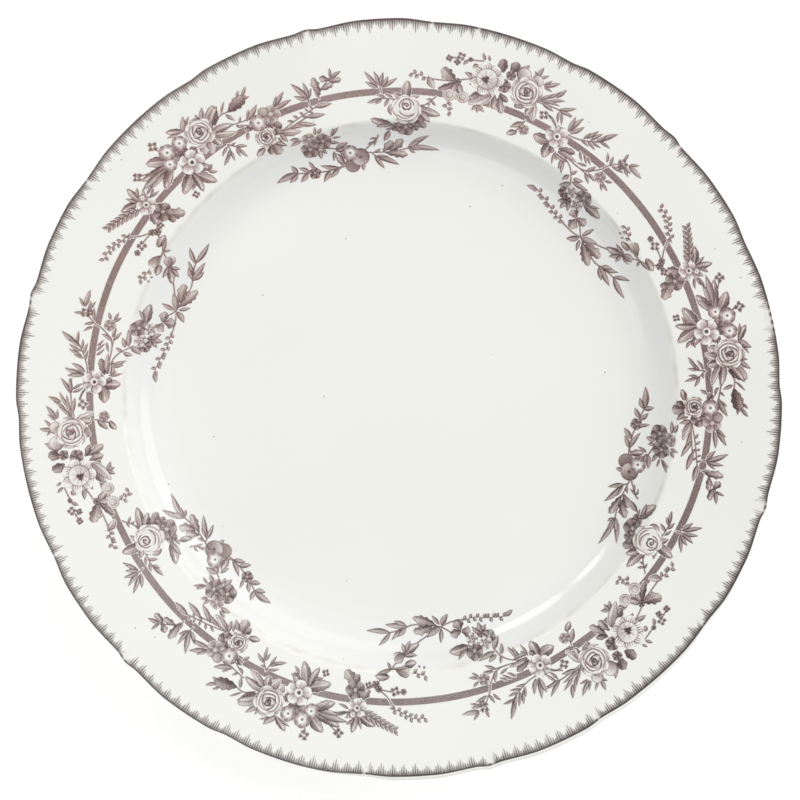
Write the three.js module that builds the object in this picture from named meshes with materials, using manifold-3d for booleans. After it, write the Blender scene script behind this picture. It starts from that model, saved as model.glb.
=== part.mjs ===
// China dinner plate with a moulded wavy edge and an underglaze print of flower sprays.
// Millimetres, +Z up, foot ring on z = 0, plate axis on the Z axis.
import * as THREE from "three";
import { mergeVertices } from "three/addons/utils/BufferGeometryUtils.js";
import Module from "manifold-3d";

const wasm = await Module();
wasm.setup();

// Body sizes.
const edgeRadius = 130;
const edgeHeight = 26.6;
const wellFloorHeight = 6.8;
const footOuterRadius = 80.6;
const footInnerRadius = 77.4;
const waveStartRadius = 121;

// Printed film sizes. Heights are above the upper surface, measured along Z.
const bandRadius = 104.9;
const bandWidth = 2.3;
const bandLift = 0.15;
const featherOuterRadius = 128.8;
const featherInnerRadius = 126.4;
const featherToothLength = 1.6;
const sprayLift = 0.5;
const filmThickness = 0.2;

const repeats = 3;
const stepsAround = 72;

// One sixth of the wavy edge: angle in degrees and how far the edge moves out or in.
const edgeWave = [
  [0, 0.25],
  [3, -0.45],
  [7.5, 0.1],
  [13, 0.12],
  [19, 0.15],
  [24.7, -0.45],
  [29.5, 0.3],
  [35.5, 0.15],
  [42, -0.65],
  [44, 0.05],
  [46.2, -0.5],
  [52.5, 0.28],
];

// Upper surface from the well's centre to the lip, radius and height.
const upperProfile = [
  [0, wellFloorHeight],
  [74, wellFloorHeight],
  [79, 6.95],
  [82.5, 7.35],
  [86, 8.35],
  [89, 10.2],
  [91, 12.45],
  [94.4, 17.7],
  [waveStartRadius, 24.6],
  [128.9, edgeHeight],
];

// The sprays' sheet follows the surface through these radii.
const sheetRadii = [74, 82.5, 86, 89, 91, 94.4, waveStartRadius];

const lipProfile = [
  [edgeRadius, 26],
  [129.8, 24.6],
  [127.6, 22.9],
];

// Underside from the rim back to the axis, around the foot ring.
const underProfile = [
  [waveStartRadius, 20.9],
  [97.6, 14],
  [95.2, 12.4],
  [92.6, 9.4],
  [88.6, 5.5],
  [84.6, 2.9],
  [82, 1.5],
  [footOuterRadius, 0],
  [footInnerRadius, 0],
  [75.8, 2.6],
  [70, 2.9],
  [0, 2.9],
];

const glaze = new THREE.MeshStandardMaterial({ color: 0xecede8, roughness: 0.16, metalness: 0 });
const ink = new THREE.MeshStandardMaterial({ color: 0x7d6561, roughness: 0.2, metalness: 0 });
const paleInk = new THREE.MeshStandardMaterial({ color: 0x9a8481, roughness: 0.2, metalness: 0 });

// Turns the even steps of a lathe into the uneven steps of the edge's waves.
function waveAt(step) {
  const perSixth = edgeWave.length;
  const wrapped = ((step % stepsAround) + stepsAround) % stepsAround;
  const sixth = Math.floor(wrapped / perSixth);
  const [angle, shift] = edgeWave[wrapped % perSixth];
  return { angle: THREE.MathUtils.degToRad(angle + 60 * sixth), shift };
}

// A closed ring or disc of revolution whose outer part follows the wavy edge.
function wavyLathe(profile) {
  const points = profile.map(([radius, height]) => new THREE.Vector2(radius, height));
  const geometry = new THREE.LatheGeometry(points, stepsAround);
  const position = geometry.attributes.position;
  for (let index = 0; index < position.count; index += 1) {
    const x = position.getX(index);
    const z = position.getZ(index);
    const radius = Math.hypot(x, z);
    const step = Math.round((Math.atan2(-z, x) / (2 * Math.PI)) * stepsAround);
    const { angle, shift } = waveAt(step);
    const share = THREE.MathUtils.clamp((radius - waveStartRadius) / (edgeRadius - waveStartRadius), 0, 1);
    const moved = radius + shift * share;
    position.setXYZ(index, moved * Math.cos(angle), moved * Math.sin(angle), position.getY(index));
  }
  return geometry;
}

function toManifold(geometry) {
  const bare = geometry.clone();
  bare.deleteAttribute("normal");
  bare.deleteAttribute("uv");
  const merged = mergeVertices(bare, 1e-4);
  const mesh = new wasm.Mesh({
    numProp: 3,
    vertProperties: new Float32Array(merged.attributes.position.array),
    triVerts: new Uint32Array(merged.index.array),
  });
  return new wasm.Manifold(mesh);
}

function toGeometry(solid) {
  const mesh = solid.getMesh();
  const geometry = new THREE.BufferGeometry();
  geometry.setAttribute("position", new THREE.BufferAttribute(new Float32Array(mesh.vertProperties), 3));
  geometry.setIndex(new THREE.BufferAttribute(new Uint32Array(mesh.triVerts), 1));
  geometry.computeVertexNormals();
  return geometry;
}

// A thin sheet that follows the upper surface, between two heights above it.
function surfaceSheet(lift) {
  const kept = upperProfile.filter(([radius]) => sheetRadii.includes(radius));
  const bottom = kept.map(([radius, height]) => [radius, height + lift]);
  const top = kept.map(([radius, height]) => [radius, height + lift + filmThickness]).reverse();
  return toManifold(wavyLathe([...bottom, ...top, bottom[0]]));
}

// Places a flat outline on the plate. Heading 0 runs round the plate, 90 runs outwards.
function prismAt(points, angle, radius, heading) {
  const around = THREE.MathUtils.degToRad(angle);
  const turn = THREE.MathUtils.degToRad(heading);
  const shape = new THREE.Shape(
    points.map(([along, across]) => {
      const side = along * Math.cos(turn) - across * Math.sin(turn);
      const out = radius + along * Math.sin(turn) + across * Math.cos(turn);
      return new THREE.Vector2(
        out * Math.cos(around) - side * Math.sin(around),
        out * Math.sin(around) + side * Math.cos(around),
      );
    }),
  );
  return toManifold(new THREE.ExtrudeGeometry(shape, { depth: 40, bevelEnabled: false }));
}

function leafOutline(length, width) {
  return [
    [-0.6, -0.3],
    [0.42 * length, -0.5 * width],
    [length, 0],
    [0.42 * length, 0.5 * width],
    [-0.6, 0.3],
  ];
}

function bloomOutline(size) {
  const corners = size > 2.8 ? 8 : 6;
  return Array.from({ length: corners }, (_, corner) => {
    const turn = (2 * Math.PI * corner) / corners;
    return [size * Math.cos(turn), size * Math.sin(turn)];
  });
}

function polar(angle, radius) {
  const turn = THREE.MathUtils.degToRad(angle);
  return new THREE.Vector2(radius * Math.cos(turn), radius * Math.sin(turn));
}

// A stem is a chain of short straight strips through the listed places.
function stemPrisms(places, shiftAngle) {
  const halfWidth = 0.5;
  return places.slice(1).map(([angle, radius], index) => {
    const start = polar(places[index][0] + shiftAngle, places[index][1]);
    const end = polar(angle + shiftAngle, radius);
    const along = end.clone().sub(start).setLength(halfWidth);
    const side = new THREE.Vector2(-along.y, along.x);
    start.sub(along);
    end.add(along);
    const shape = new THREE.Shape([
      start.clone().add(side),
      start.clone().sub(side),
      end.clone().sub(side),
      end.clone().add(side),
    ]);
    return toManifold(new THREE.ExtrudeGeometry(shape, { depth: 40, bevelEnabled: false }));
  });
}

// Each spray lists blooms [angle, radius, size], leaves [angle, radius, length, width, heading]
// and stems [[angle, radius], ...]. Leaves are placed by their base.
const sprays = {
  rose_bouquet: {
    blooms: [
      [8.4, 113, 4.9],
      [11.9, 114.6, 3],
      [14.9, 114.4, 3.4],
      [13.2, 110.6, 3.4],
      [12.8, 106.8, 4.3],
      [0.4, 114.6, 2.5],
    ],
    leaves: [
      [6.5, 112.5, 7.4, 4.6, 132],
      [7, 110, 8.4, 3.4, 197],
      [8, 109.5, 5.6, 3.6, 245],
      [10.2, 115.5, 5.6, 3.6, 80],
      [16, 112.6, 7, 3.6, 54],
      [15.6, 112.2, 11.8, 4, 12],
      [15.8, 112, 8.6, 3.4, -44],
      [14, 105, 8, 4.2, -22],
      [14, 105, 9.4, 4.2, -102],
      [5.4, 105, 7.6, 2.2, 230],
      [5.4, 105, 7.6, 3, 312],
    ],
    stems: [
      [
        [1.5, 113.6],
        [5.5, 109.8],
      ],
      [
        [5.4, 104.6],
        [6.6, 108.6],
      ],
    ],
  },
  trailing_spray: {
    blooms: [
      [24.3, 107.8, 3.3],
      [23.9, 102.1, 3.7],
      [27.6, 99.4, 2],
      [28.8, 95.9, 2.1],
      [35.2, 110.2, 2.2],
      [31.9, 90.2, 2.8],
    ],
    leaves: [
      [24.2, 109.6, 6, 3, 98],
      [25, 108.8, 11.6, 3.4, 30],
      [23.8, 101, 7, 3.8, 226],
      [30, 93.8, 8, 3.4, 8],
      [32.6, 89.8, 6.6, 3, -42],
      [41.5, 81.5, 5.4, 1.9, 98],
      [41.5, 81.5, 9.6, 3.6, 172],
      [41.5, 81.5, 9.6, 2.8, 202],
      [41.5, 81.5, 4.8, 2.2, 300],
      [33.2, 80.8, 7, 3.2, 158],
      [29, 82.6, 7.6, 2.2, 168],
      [46.8, 80.4, 7, 2.6, 8],
      [50.4, 81.4, 11.6, 2.4, 18],
    ],
    stems: [
      [
        [24.4, 106],
        [27.6, 99.4],
        [28.8, 95.9],
        [33, 89.4],
        [36.6, 85.2],
        [41.5, 81.5],
      ],
      [
        [27.8, 100],
        [31.6, 107.6],
        [35.2, 110.2],
      ],
      [
        [51, 81.6],
        [37.6, 80.2],
        [29, 82.6],
      ],
    ],
  },
  double_spray: {
    blooms: [
      [59.2, 104.4, 4],
      [46.9, 110.8, 2.2],
      [48.1, 101.8, 2.4],
      [47.9, 91.6, 3.3],
      [50.6, 88.6, 3.3],
      [46.3, 86.4, 3.4],
    ],
    leaves: [
      [58.2, 107, 7.4, 3, 118],
      [59, 107, 6.6, 3, 88],
      [54.8, 106.4, 7.8, 3, 102],
      [54, 106.4, 11.6, 3, 120],
      [46.6, 110.8, 6.8, 2.2, 172],
      [58.6, 101.4, 7.8, 3.4, 178],
      [59.6, 101.6, 6.2, 3.8, 262],
      [60.2, 101.6, 6, 4, -10],
      [53, 96.4, 6.4, 2.2, 160],
      [52.6, 96, 5.4, 2.4, 280],
      [47, 90.8, 8, 3.6, 176],
      [46.2, 85.8, 5.4, 4, 246],
    ],
    stems: [
      [
        [46.9, 110.8],
        [49.2, 105.4],
        [51.4, 100.2],
        [57.8, 101],
      ],
      [
        [48.2, 101.8],
        [51, 101.4],
      ],
      [
        [53.6, 106.6],
        [58.6, 106],
      ],
      [
        [56.6, 100.8],
        [53, 96.4],
        [51.2, 89.8],
      ],
    ],
  },
  daffodil_bouquet: {
    blooms: [
      [67.6, 113, 5.1],
      [74.8, 113, 5],
      [67.9, 118, 3],
      [71.8, 118.4, 3],
      [71.2, 114, 3.8],
      [79.8, 110, 2],
      [78.2, 105.2, 2.2],
      [80.6, 105.2, 2.2],
      [83.6, 108.3, 2.2],
      [79.6, 118.4, 2.1],
    ],
    leaves: [
      [66.4, 118, 5.4, 2, 96],
      [65.8, 113.4, 9.6, 2.8, 142],
      [65.8, 112.4, 12.4, 3, 165],
      [66.4, 110.4, 6.6, 3.4, 240],
      [66.6, 110.4, 6.4, 3.6, 298],
      [72, 111.4, 8.8, 4.2, 252],
      [73.6, 109.6, 9.4, 4.6, 312],
      [79.6, 110, 6.2, 3.6, 46],
      [79.6, 109.8, 6, 3.4, 240],
      [79.8, 109.8, 6, 3.4, 286],
    ],
    stems: [
      [
        [76.6, 112],
        [79.6, 110.2],
        [86.8, 110.4],
      ],
      [
        [75.8, 116.6],
        [79.6, 118.4],
      ],
    ],
  },
  small_sprig: {
    blooms: [[65.6, 101.4, 2.1]],
    leaves: [
      [66, 102, 3.8, 2, -4],
      [65.8, 101.6, 6, 2, 304],
    ],
    stems: [],
  },
  peony_spray: {
    blooms: [
      [88.8, 98.7, 5],
      [88.8, 92.8, 3.4],
    ],
    leaves: [
      [88.6, 102.4, 6.2, 2.6, 92],
      [88.6, 102, 4.6, 6, 96],
      [90.6, 93, 8.8, 3.6, 14],
      [86.6, 99.4, 8.6, 3.6, 192],
      [87, 96.6, 6.6, 3.8, 230],
      [90.6, 101.2, 10, 2.4, 0],
    ],
    stems: [],
  },
  fan_sprig: {
    blooms: [],
    leaves: [
      [93.6, 105.6, 6.6, 2.2, 140],
      [93.6, 105.6, 6, 2.4, 100],
      [93.6, 105.6, 7.4, 2.4, 58],
      [93.6, 105.6, 5.4, 1.8, 30],
    ],
    stems: [],
  },
  bud_sprig: {
    blooms: [
      [101.7, 110.8, 2],
      [103.1, 110.8, 2.2],
    ],
    leaves: [
      [104.8, 106, 6.8, 2.6, 88],
      [102, 111.2, 4.8, 1.8, 140],
      [106.7, 105.6, 6.6, 2.4, 92],
      [106.7, 105.6, 8.4, 2.6, 54],
    ],
    stems: [
      [
        [107, 105.4],
        [104.9, 105.6],
        [103.1, 110.4],
      ],
    ],
  },
  corner_spray: {
    blooms: [
      [114.7, 106.2, 3],
      [117.1, 105.3, 2.9],
      [115, 100.8, 3.3],
      [117.6, 100, 2.8],
      [116, 95.6, 2.9],
    ],
    leaves: [
      [113.6, 106, 6.2, 3.4, 148],
      [114.2, 99.4, 8.8, 2.8, 196],
      [114.2, 99.6, 17, 3.2, 168],
    ],
    stems: [
      [
        [114.8, 104.6],
        [115, 101.6],
        [116, 95.6],
      ],
    ],
  },
  berry_spray: {
    blooms: [
      [106.8, 91, 3],
      [110, 90.2, 3.4],
      [99.6, 82.4, 3],
      [101.9, 84.4, 3],
      [101.8, 81, 2.6],
      [111.2, 81.5, 2.4],
    ],
    leaves: [
      [107, 91, 6, 2.2, 148],
      [109.8, 92.6, 5.4, 2.4, 24],
      [98, 83.2, 8.6, 2.8, 218],
      [94, 83.6, 5.4, 2.8, 124],
      [92.4, 83.6, 6.4, 2.8, 196],
      [89.4, 84.2, 8.4, 2.4, 146],
      [89, 84.4, 10.4, 2, 176],
      [104.6, 80.4, 7, 2.2, 24],
      [112.6, 82.2, 5, 3, -14],
      [115, 83.2, 8.6, 2, 2],
    ],
    stems: [
      [
        [107.6, 89.4],
        [104, 85.4],
        [104.6, 80.4],
        [111.2, 81.5],
        [115.4, 83.3],
      ],
      [
        [99, 83],
        [89, 84.4],
      ],
    ],
  },
};

function sprayOutline(spray, shiftAngle) {
  const prisms = [];
  for (const [angle, radius, size] of spray.blooms) {
    prisms.push(prismAt(bloomOutline(size), angle + shiftAngle, radius, 0));
  }
  for (const [angle, radius, length, width, heading] of spray.leaves) {
    prisms.push(prismAt(leafOutline(length, width), angle + shiftAngle, radius, heading));
  }
  for (const places of spray.stems) {
    prisms.push(...stemPrisms(places, shiftAngle));
  }
  return prisms.reduce((joined, prism) => joined.add(prism));
}

// A printed ring from the lathe. Every second step of a toothed ring reaches further in.
function ringFilm(innerRadius, outerRadius, toothLength) {
  const low = bandLift;
  const high = bandLift + filmThickness;
  const inner = surfaceHeight(innerRadius);
  const outer = surfaceHeight(outerRadius);
  const geometry = wavyLathe([
    [innerRadius, inner + low],
    [outerRadius, outer + low],
    [outerRadius, outer + high],
    [innerRadius, inner + high],
    [innerRadius, inner + low],
  ]);
  const position = geometry.attributes.position;
  const slope = (outer - inner) / (outerRadius - innerRadius);
  for (let index = 0; index < position.count; index += 1) {
    const ringPoint = index % 5;
    const step = Math.floor(index / 5) % stepsAround;
    const isInner = ringPoint === 0 || ringPoint >= 3;
    if (isInner && step % 2 === 0) {
      const x = position.getX(index);
      const y = position.getY(index);
      const scale = 1 - toothLength / Math.hypot(x, y);
      position.setXYZ(index, x * scale, y * scale, position.getZ(index) - slope * toothLength);
    }
  }
  return geometry;
}

function surfaceHeight(radius) {
  const next = upperProfile.findIndex(([reach]) => reach >= radius);
  const [innerReach, innerHeight] = upperProfile[next - 1];
  const [outerReach, outerHeight] = upperProfile[next];
  const share = (radius - innerReach) / (outerReach - innerReach);
  return innerHeight + share * (outerHeight - innerHeight);
}

function namedMesh(name, geometry, material) {
  const mesh = new THREE.Mesh(geometry, material);
  mesh.name = name;
  return mesh;
}

const plate = new THREE.Group();
plate.name = "china_dinner_plate";

const bodyProfile = [...upperProfile, ...lipProfile, ...underProfile].reverse();
plate.add(namedMesh("plate_body", wavyLathe(bodyProfile), glaze));

const bandInner = bandRadius - bandWidth / 2;
const bandOuter = bandRadius + bandWidth / 2;
plate.add(namedMesh("band_print", ringFilm(bandInner, bandOuter, 0), ink));
const featherFilm = ringFilm(featherInnerRadius, featherOuterRadius, featherToothLength);
plate.add(namedMesh("feather_edge_print", featherFilm, ink));

const printSheet = surfaceSheet(sprayLift);
for (let repeat = 0; repeat < repeats; repeat += 1) {
  const shiftAngle = (360 / repeats) * repeat;
  for (const [name, spray] of Object.entries(sprays)) {
    const film = printSheet.intersect(sprayOutline(spray, shiftAngle));
    plate.add(namedMesh(`${name}_${repeat + 1}`, toGeometry(film), paleInk));
  }
}

export default plate;
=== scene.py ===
import math

import bpy
import numpy as np
from mathutils import Matrix, Vector


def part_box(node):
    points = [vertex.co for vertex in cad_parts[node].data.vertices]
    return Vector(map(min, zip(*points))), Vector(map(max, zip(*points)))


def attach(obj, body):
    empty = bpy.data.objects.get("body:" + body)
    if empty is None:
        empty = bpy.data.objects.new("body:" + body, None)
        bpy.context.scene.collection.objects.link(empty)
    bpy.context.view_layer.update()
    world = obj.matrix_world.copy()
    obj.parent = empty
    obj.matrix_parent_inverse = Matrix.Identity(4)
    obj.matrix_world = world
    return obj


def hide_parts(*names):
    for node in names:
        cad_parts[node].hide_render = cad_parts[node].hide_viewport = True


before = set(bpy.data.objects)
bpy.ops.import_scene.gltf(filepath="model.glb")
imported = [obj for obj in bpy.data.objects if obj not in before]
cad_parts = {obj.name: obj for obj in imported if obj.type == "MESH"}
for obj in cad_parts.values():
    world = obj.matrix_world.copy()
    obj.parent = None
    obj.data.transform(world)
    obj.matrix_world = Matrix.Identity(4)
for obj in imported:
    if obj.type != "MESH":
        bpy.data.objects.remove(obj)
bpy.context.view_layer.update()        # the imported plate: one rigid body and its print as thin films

mm = 0.001
plateLow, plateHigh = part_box("plate_body")
print("plate", [round((plateHigh[i] - plateLow[i]) / mm, 2) for i in range(3)], "mm")


def toLinear(hexColour):
    parts = [int(hexColour[i:i + 2], 16) / 255 for i in (1, 3, 5)]
    return [c / 12.92 if c <= 0.04045 else ((c + 0.055) / 1.055) ** 2.4 for c in parts] + [1.0]


def soften(distance, blur):
    return np.clip(distance / blur + 0.5, 0, 1)


dinnerPlate = {
    "edgeRadius": 130.0,          # mm, before the waves
    "waveStart": 121.0,           # the waves fade out inwards from the edge to here
    "lipRadius": 1.4,
    "cornerBlur": 0.42,           # mm, how far the profile's corners are rounded
    # the turned profiles, radius and height in mm
    "upper": [(0, 6.8), (74, 6.8), (79, 6.95), (82.5, 7.35), (86, 8.35), (89, 10.2), (91, 12.45), (94.4, 17.7),
              (121, 24.6), (132, 27.38)],
    "under": [(130, 25.48), (130, 24.9), (129.4, 23.8), (127.6, 22.9), (121, 20.9), (97.6, 14), (95.2, 12.4),
              (92.6, 9.4), (88.6, 5.5), (84.6, 2.9), (82, 1.5), (80.6, 0), (77.4, 0), (75.8, 2.6), (70, 2.9),
              (3, 2.9)],
    # one sixth of the edge: angle in degrees, shift of the edge in mm
    "wave": [(0, 0.25), (3, -0.45), (7.5, 0.1), (13, 0.12), (19, 0.15), (24.7, -0.45), (29.5, 0.297),
             (35.5, 0.15), (42, -0.65), (44, 0.05), (46.2, -0.5), (52.5, 0.28), (60, 0.25)],
    "steps": 576,                 # points round the plate
    "rings": [(4, 72, 6), (72, 97, 0.5), (97, 116, 2), (116, 128.6, 0.7)],    # from, to and step
    "lipRings": 9,
    "printLift": 0.03,            # mm, how far the print stands off the body's glaze
}

# A smooth height for every radius: the profile's corners are rounded over about a millimetre.
profileStep = 0.1
fineRadius = np.arange(-5, 132, profileStep)
fineHeight = np.interp(np.abs(fineRadius), *zip(*dinnerPlate["upper"]))
rounding = np.exp(-0.5 * (np.arange(-30, 31) * profileStep / dinnerPlate["cornerBlur"]) ** 2)
fineHeight = np.convolve(np.pad(fineHeight, 30, mode="edge"), rounding / rounding.sum(), mode="valid")


def upperHeight(radius):
    height = np.interp(radius, fineRadius, fineHeight)
    lip = dinnerPlate["lipRadius"]
    past = np.clip((radius - dinnerPlate["edgeRadius"] + lip) / lip, 0, 1)
    return height - lip * (1 - np.sqrt(1 - past ** 2))


def edgeShift(turn):
    degrees = np.mod(np.degrees(turn), 60)
    angles, shifts = map(np.array, zip(*dinnerPlate["wave"]))
    spot = np.clip(np.searchsorted(angles, degrees, side="right") - 1, 0, len(angles) - 2)
    share = (degrees - angles[spot]) / (angles[spot + 1] - angles[spot])
    share = share * share * (3 - 2 * share)
    return shifts[spot] * (1 - share) + shifts[spot + 1] * share


def wavedPoint(radius, turn, height):
    start = dinnerPlate["waveStart"]
    share = np.clip((radius - start) / (dinnerPlate["edgeRadius"] - start), 0, 1)
    moved = radius + edgeShift(turn) * share
    return np.stack([moved * np.cos(turn), moved * np.sin(turn), height], -1) * mm


def upperPoint(radius, turn, lift=0.0):
    return wavedPoint(radius, turn, upperHeight(radius) + lift)


def cutCorners(points, rounds):
    for _ in range(rounds):
        kept = [points[0]]
        for (a, b), (c, d) in zip(points[:-1], points[1:]):
            kept += [(0.75 * a + 0.25 * c, 0.75 * b + 0.25 * d), (0.25 * a + 0.75 * c, 0.25 * b + 0.75 * d)]
        points = kept + [points[-1]]
    return points


def ringQuads(rows, around):               # the faces between rings of points: this ring, the next, one step on
    here = np.arange(around)
    after = (here + 1) % around
    ring = np.arange(rows - 1)[:, None] * around
    return np.stack([ring + here, ring + around + here, ring + around + after, ring + after], -1).reshape(-1, 4)


def meshPiece(name, points, faces, values=None):
    mesh = bpy.data.meshes.new(name)
    mesh.from_pydata(points.tolist(), [], faces)
    mesh.polygons.foreach_set("use_smooth", [True] * len(mesh.polygons))
    if values is not None:
        mesh.attributes.new("tone", "FLOAT", "POINT").data.foreach_set("value", values.astype(np.float32))
    mesh.update()
    piece = bpy.data.objects.new(name, mesh)
    bpy.context.scene.collection.objects.link(piece)
    return piece


def makePlate():
    steps, edge, lip = dinnerPlate["steps"], dinnerPlate["edgeRadius"], dinnerPlate["lipRadius"]
    turn = np.arange(steps) * 2 * math.pi / steps
    lipTurn = np.linspace(0, math.pi / 2, dinnerPlate["lipRings"])
    radii = np.concatenate([np.arange(*span) for span in dinnerPlate["rings"]] + [edge - lip * np.cos(lipTurn)])
    rows = [upperPoint(np.full(steps, radius), turn) for radius in radii]
    rows += [wavedPoint(np.full(steps, radius), turn, np.full(steps, height))
             for radius, height in cutCorners(dinnerPlate["under"], 3)[1:]]
    points = np.concatenate(rows + [[[0, 0, upperHeight(0.0) * mm]], [[0, 0, rows[-1][0][2]]]])
    topPole, underPole, last = len(points) - 2, len(points) - 1, (len(rows) - 1) * steps
    neighbours = [(here, (here + 1) % steps) for here in range(steps)]
    faces = [[topPole, a, b] for a, b in neighbours] + ringQuads(len(rows), steps).tolist()
    faces += [[underPole, last + b, last + a] for a, b in neighbours]
    return meshPiece("plateBody", points, faces)


# The print is drawn on sheets. A sheet is a fine polar grid of points with a tone (0 bare glaze, 1 darkest ink)
# and a cover (0 nothing, 1 drawn).
printDrawing = {
    "cell": 0.21,             # mm between points
    "blur": 0.2,              # mm, softness of every drawn edge
    "leastInk": 0.02,         # fainter points are left out
    "lobePitch": 2.1,         # mm between the lobes of a leaf's outline
    "veinAlong": 0.9,         # mm between veins, along the leaf
    "veinAcross": 1.3,        # mm across, which sets their slant
    "streakPitch": 0.8,       # mm
    "ribWidth": 0.24,         # mm
    "rimWidth": 0.26,         # mm
    "leafBow": 0.05,          # the most a leaf bends, as a share of its length
}


def blankSheet(angles, radii):
    middle = sum(radii) / 2
    stepsOut = max(2, round((radii[1] - radii[0]) / printDrawing["cell"]))
    stepsRound = max(3, round(math.radians(angles[1] - angles[0]) * middle / printDrawing["cell"]))
    radius, turn = np.meshgrid(np.linspace(radii[0], radii[1], stepsOut + 1),
                               np.radians(np.linspace(angles[0], angles[1], stepsRound + 1)), indexing="ij")
    shape = radius.shape
    radius, turn = radius.ravel(), turn.ravel()
    return {"shape": shape, "radius": radius, "turn": turn, "x": radius * np.cos(turn),
            "y": radius * np.sin(turn), "tone": np.zeros(radius.size), "cover": np.zeros(radius.size)}


def inkedPiece(name, quads, ink, radius, turn, tone):
    # only the faces that touch ink, and the points they use
    quads = quads[(ink > printDrawing["leastInk"])[quads].any(axis=1)]
    used = np.unique(quads)
    newNumber = np.full(len(ink), -1)
    newNumber[used] = np.arange(len(used))
    points = upperPoint(radius[used], turn[used], dinnerPlate["printLift"])
    return meshPiece(name, points, newNumber[quads].tolist(), tone[used])


def sheetPiece(name, sheet):
    rows, columns = sheet["shape"]
    number = np.arange(rows * columns).reshape(rows, columns)
    quads = np.stack([number[:-1, :-1], number[1:, :-1], number[1:, 1:], number[:-1, 1:]], -1).reshape(-1, 4)
    return inkedPiece(name, quads, sheet["cover"], sheet["radius"], sheet["turn"], sheet["tone"])


def localAt(sheet, spot, heading, reach):
    turn, head = math.radians(spot[0]), math.radians(heading)
    dx = sheet["x"] - spot[1] * math.cos(turn)
    dy = sheet["y"] - spot[1] * math.sin(turn)
    pick = np.nonzero(dx * dx + dy * dy < reach * reach)[0]
    dx, dy = dx[pick], dy[pick]
    around = dy * math.cos(turn) - dx * math.sin(turn)
    outward = dx * math.cos(turn) + dy * math.sin(turn)
    return (pick, around * math.cos(head) + outward * math.sin(head),
            outward * math.cos(head) - around * math.sin(head))


def layInk(sheet, pick, mask, tone):
    sheet["tone"][pick] = sheet["tone"][pick] * (1 - mask) + np.clip(tone, 0, 1) * mask
    sheet["cover"][pick] = np.maximum(sheet["cover"][pick], mask)


# How each kind of leaf or petal is drawn: peak, fullness, then the tones of base, tip, side, rib, veins and rim,
# then the depth of the lobes and the tone of the streaks. A peak below 1 puts the widest place near the base, and
# a fullness below 1 rounds it.
bladeLooks = {
    "broad": (0.9, 0.62, 0.85, 0.3, 0.16, -0.36, 0.06, 0.5, 0.05, 0),
    "slim": (0.85, 0.95, 0.62, 0.4, 0.16, -0.14, 0, 0.42, 0, 0),
    "pale": (0.8, 0.7, 0.5, 0.06, 0.14, 0.22, 0.05, 0.6, 0.06, 0),
    "petal": (1.7, 0.45, 0.7, -0.1, 0.1, 0.14, 0.03, 0.62, 0.05, 0),
    "shaded": (1.4, 0.5, 0, 0.72, 0.12, 0, 0.05, 0.15, 0.03, 0),
    "dark": (1.3, 0.5, 0.95, 0.5, 0.2, -0.1, 0.1, 0.4, 0.1, 0),
    "lobe": (1.4, 0.55, 0.85, 0.3, 0.16, -0.2, 0.05, 0.5, 0.16, 0),
    "grey": (1.5, 0.5, 0.7, 0.24, 0.12, 0.1, 0.04, 0.42, 0.05, 0),
    "ray": (1.5, 0.45, 0.5, -0.05, 0.12, 0.1, 0, 0.5, 0.08, 0.32),
}


def drawBlade(sheet, spot, length, width, heading, kind, start=0.0, bow=0.0):
    look = printDrawing
    peak, fullness, base, tip, side, rib, veins, rim, lobes, streaks = bladeLooks[kind]
    pick, along, across = localAt(sheet, spot, heading, start + length + 1)
    share = np.clip((along - start) / length, 0, 1)
    across = across - bow * np.sin(math.pi * share)
    half = width / 2 * np.sin(math.pi * share ** peak).clip(0) ** fullness
    half = half * (1 + lobes * np.cos(2 * math.pi * along / look["lobePitch"] + 0.6 * np.sign(across)))
    inside = half - np.abs(across)
    mask = soften(inside, look["blur"]) * ((along > start) & (along < start + length))
    tone = base + (tip - base) * share
    tone += side * np.tanh(across / width * 6)
    tone += veins * np.cos(2 * math.pi * (along / look["veinAlong"] - np.abs(across) / look["veinAcross"]))
    tone += rib * np.exp(-(across / look["ribWidth"]) ** 2) * (share < 0.85)
    tone += streaks * np.cos(2 * math.pi * across / look["streakPitch"]) * (share < 0.75)
    tone += rim * np.exp(-(inside / look["rimWidth"]) ** 2)
    layInk(sheet, pick, mask, tone)


def flatPlace(place):
    return np.array([place[1] * math.cos(math.radians(place[0])), place[1] * math.sin(math.radians(place[0]))])


def drawLeaf(sheet, base, tip, width, kind, bow=0.0):
    run = flatPlace(tip) - flatPlace(base)
    length = float(np.linalg.norm(run))
    heading = base[0] + 90 - math.degrees(math.atan2(run[1], run[0]))      # 0 runs round the plate
    if kind == "feather":
        drawFeather(sheet, base, length, width, heading)
    else:
        drawBlade(sheet, base, length, width, heading, kind, bow=bow * length)


def drawDisc(sheet, spot, size, light, shade, rim):
    pick, along, across = localAt(sheet, spot, 0, size + 1)
    reach = np.hypot(along, across)
    tone = light + (shade - light) * (0.5 + 0.5 * (along - across) / size / 1.2)
    tone += rim * np.exp(-((size - reach) / 0.28) ** 2)
    layInk(sheet, pick, soften(size - reach, printDrawing["blur"]), tone)


def drawRing(sheet, spot, size, count, reach, wide, kind, turn, start=0.0):
    for k in range(count):
        drawBlade(sheet, spot, size * (reach - start), size * wide, turn + 360 * k / count, kind, size * start)


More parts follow.
